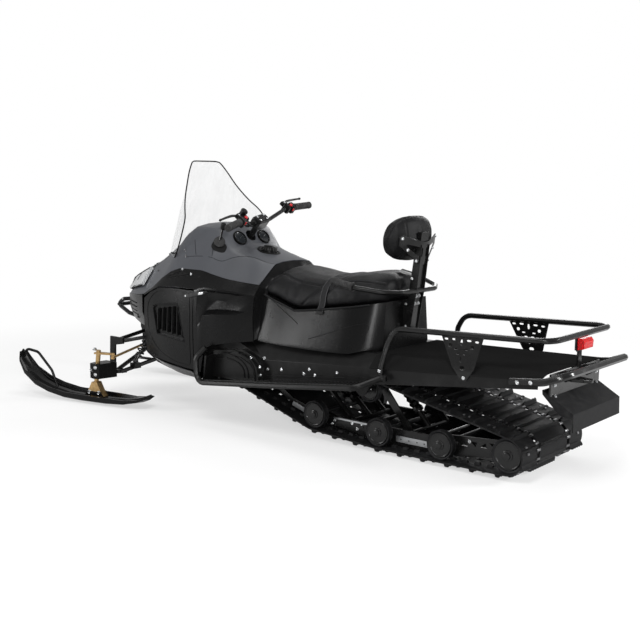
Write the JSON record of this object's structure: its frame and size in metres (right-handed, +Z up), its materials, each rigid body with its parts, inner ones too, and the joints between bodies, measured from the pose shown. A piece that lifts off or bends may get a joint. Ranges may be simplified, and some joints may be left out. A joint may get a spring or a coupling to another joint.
{
  "type": "utility snowmobile",
  "caption": "Utility snowmobile: steered front skis, one wide drive track, long seat with a backrest, rear cargo deck with a tubular rack, and engine side panels that open.",
  "frame": {"origin": "on the floor, under the middle of the whole machine's box, in its middle plane", "axes": "+X forward, towards the skis' tips; +Y to the rider's left; +Z up from the floor"},
  "size_m": [3.331, 1.2056, 1.3561],
  "materials": {
    "cast": "rough casting",
    "clear": "clear moulded sheet",
    "gold": "gold anodised or coated",
    "hood_grey": "satin grey moulded and painted panel",
    "lamp_red": "red lamp lens",
    "lamp_white": "clear lamp lens",
    "moulded_black": "matte black moulded plastic",
    "satin_black": "satin black coated steel or aluminium",
    "track_rubber": "black rubber",
    "vinyl": "black grained vinyl cover",
    "wheel_rubber": "black rubber on a moulded wheel"
  },
  "bodies": {
    "chassis": {"backrest_cushion": "vinyl", "backrest_frame": "satin_black", "belly_pan": "moulded_black", "bogie_wheels_front": "wheel_rubber", "bogie_wheels_middle": "wheel_rubber", "bogie_wheels_rear": "wheel_rubber", "bulkhead": "satin_black", "cargo_deck": "moulded_black", "cargo_rack": "satin_black", "carrier_wheels": "wheel_rubber", "drive_shaft": "satin_black", "engine_block": "cast", "front_bumper": "satin_black", "front_shock_left": "satin_black", "front_shock_right": "satin_black", "fuel_cap": "moulded_black", "gear_lever": "moulded_black", "headlamp": "lamp_white", "hood": "hood_grey", "knee_panel_left": "moulded_black", "knee_panel_right": "moulded_black", "knuckle_left": "moulded_black", "knuckle_right": "moulded_black", "lower_arm_left": "satin_black", "lower_arm_right": "satin_black", "nose_cowl": "moulded_black", "rear_bumper": "satin_black", "rear_idler_wheels": "wheel_rubber", "running_board_left": "satin_black", "running_board_right": "satin_black", "seat_base": "moulded_black", "seat_cushion": "vinyl", "slide_frame": "satin_black", "snow_flap": "track_rubber", "taillight": "lamp_red", "track": "track_rubber", "tunnel": "satin_black", "upper_arm_left": "satin_black", "upper_arm_right": "satin_black", "windshield": "clear"},
    "steering": {"handlebar": "satin_black"},
    "ski_assembly_left": {"spindle_left": "gold", "ski_left": "moulded_black"},
    "ski_assembly_right": {"spindle_right": "gold", "ski_right": "moulded_black"},
    "tie_rod_left": {"tie_rod_left": "gold"},
    "tie_rod_right": {"tie_rod_right": "gold"},
    "side_panel_left": {"side_panel_left": "moulded_black"},
    "side_panel_right": {"side_panel_right": "moulded_black"}
  },
  "joints": [
    {"name": "steering_column", "type": "hinge", "parent": "chassis", "child": "steering", "pos_m": [0.446, 0, 0.86], "axis": [-0.6561, 0, 0.7547], "range_deg": [-43, 21]},
    {"name": "ski_steer_left", "type": "hinge", "parent": "chassis", "child": "ski_assembly_left", "pos_m": [1.123, 0.467, 0.1], "axis": [-0.1392, 0, 0.9903], "range_deg": [-43, 21]},
    {"name": "ski_steer_right", "type": "hinge", "parent": "chassis", "child": "ski_assembly_right", "pos_m": [1.123, -0.467, 0.1], "axis": [-0.1392, 0, 0.9903], "range_deg": [-43, 21]},
    {"name": "tie_rod_end_left", "type": "hinge", "parent": "ski_assembly_left", "child": "tie_rod_left", "pos_m": [1.00853, 0.43756, 0.27825], "axis": [-0.1392, 0, 0.9903], "range_deg": [-21, 43]},
    {"name": "tie_rod_end_right", "type": "hinge", "parent": "ski_assembly_right", "child": "tie_rod_right", "pos_m": [1.00399, -0.47288, 0.27762], "axis": [-0.1392, 0, 0.9903], "range_deg": [-21, 43]},
    {"name": "side_panel_hinge_left", "type": "hinge", "parent": "chassis", "child": "side_panel_left", "pos_m": [0.83, 0.338, 0.43], "axis": [0, 0, -1], "range_deg": [0, 75]},
    {"name": "side_panel_hinge_right", "type": "hinge", "parent": "chassis", "child": "side_panel_right", "pos_m": [0.83, -0.338, 0.43], "axis": [0, 0, 1], "range_deg": [0, 75]}
  ],
  "couplings": [
    {"joint": "ski_steer_left", "follows": "steering_column", "ratio": 1},
    {"joint": "ski_steer_right", "follows": "steering_column", "ratio": 1},
    {"joint": "tie_rod_end_left", "follows": "steering_column", "ratio": -1},
    {"joint": "tie_rod_end_right", "follows": "steering_column", "ratio": -1}
  ]
}
